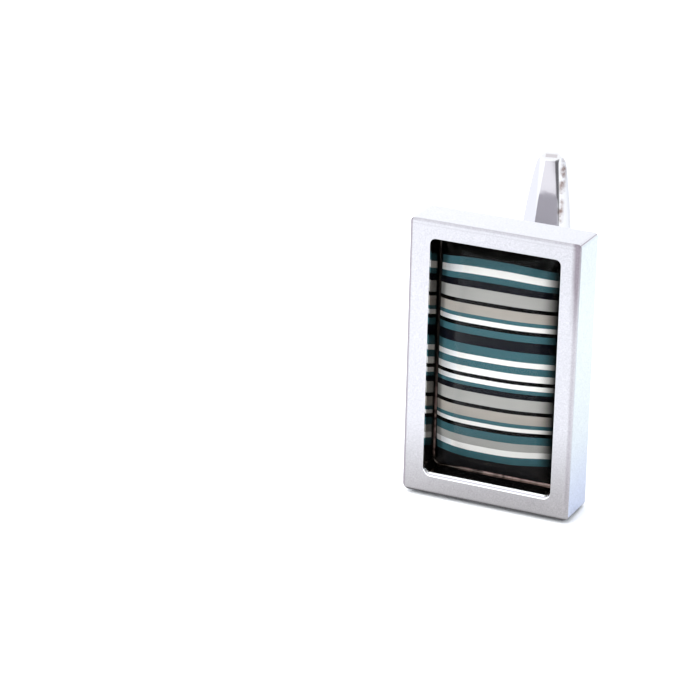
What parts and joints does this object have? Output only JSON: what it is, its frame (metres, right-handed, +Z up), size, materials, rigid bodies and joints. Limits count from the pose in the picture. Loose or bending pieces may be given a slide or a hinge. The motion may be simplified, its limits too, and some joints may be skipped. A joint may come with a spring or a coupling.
{
  "type": "cufflink",
  "caption": "Rectangular satin metal cufflink with a striped panel under a clear dome and a swivelling toggle on a slanted fork.",
  "frame": {"origin": "on the table, under the middle of the cufflink as it stands", "axes": "+Z up, -Y towards the striped face, +Y back along the post to the toggle, +X to the right of someone who looks at the face"},
  "size_m": [0.0125, 0.021, 0.0202],
  "materials": {
    "frame_metal": "satin",
    "print": "printed stripes",
    "clear_glass": "polished",
    "polished_metal": "polished"
  },
  "bodies": {
    "face": {"frame": "frame_metal", "striped_panel": "print", "glass_dome": "clear_glass", "pivot_pin": "polished_metal"},
    "toggle": {"toggle": "polished_metal"}
  },
  "joints": [
    {"name": "toggle_swivel", "type": "hinge", "parent": "face", "child": "toggle", "pos_m": [-0.00305, 0.00713, 0.00927], "axis": [0.9703, 0.2409, -0.0226], "range_deg": [-78.5, 101.5]}
  ]
}
